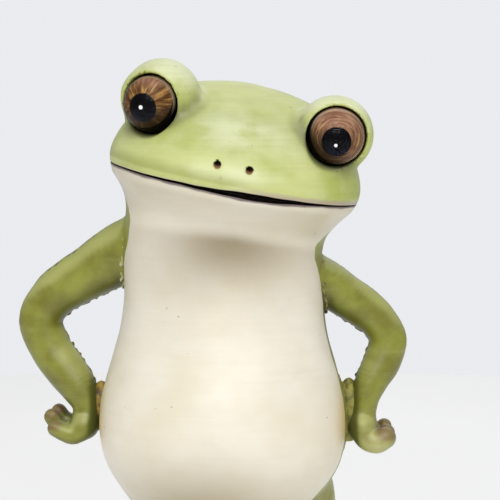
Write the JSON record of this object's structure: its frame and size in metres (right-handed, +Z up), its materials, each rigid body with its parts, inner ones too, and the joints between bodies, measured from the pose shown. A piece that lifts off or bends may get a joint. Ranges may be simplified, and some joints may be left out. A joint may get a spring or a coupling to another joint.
{
  "type": "standing frog figurine",
  "caption": "Hand-painted cast-resin tree frog figurine standing upright with hands on hips, head tilted, bulging domed eyes and a wide closed-mouth smile.",
  "frame": {"origin": "centre of the bounding box in plan, on the surface the frog stands on", "axes": "+Z up, the frog faces -Y, its own left side is on +X"},
  "size_m": [0.098, 0.0546, 0.185],
  "materials": {
    "painted_resin": "satin",
    "resin_putty": "satin",
    "painted_iris": "gloss",
    "clear_acrylic": "gloss",
    "steel": "satin",
    "plug_rubber": "matte",
    "felt": "matte"
  },
  "bodies": {
    "root": {"head_and_trunk_shell": "painted_resin", "pour_hole_plug": "plug_rubber", "left_arm_casting": "painted_resin", "left_arm_wire": "steel", "left_shoulder_bead": "resin_putty", "left_hip_putty": "resin_putty", "left_leg_casting": "painted_resin", "left_leg_rod": "steel", "left_foot_pad": "felt", "left_eye_ball": "painted_iris", "left_eye_dome": "clear_acrylic", "right_arm_casting": "painted_resin", "right_arm_wire": "steel", "right_shoulder_bead": "resin_putty", "right_hip_putty": "resin_putty", "right_leg_casting": "painted_resin", "right_leg_rod": "steel", "right_foot_pad": "felt", "right_eye_ball": "painted_iris", "right_eye_dome": "clear_acrylic"}
  },
  "joints": []
}
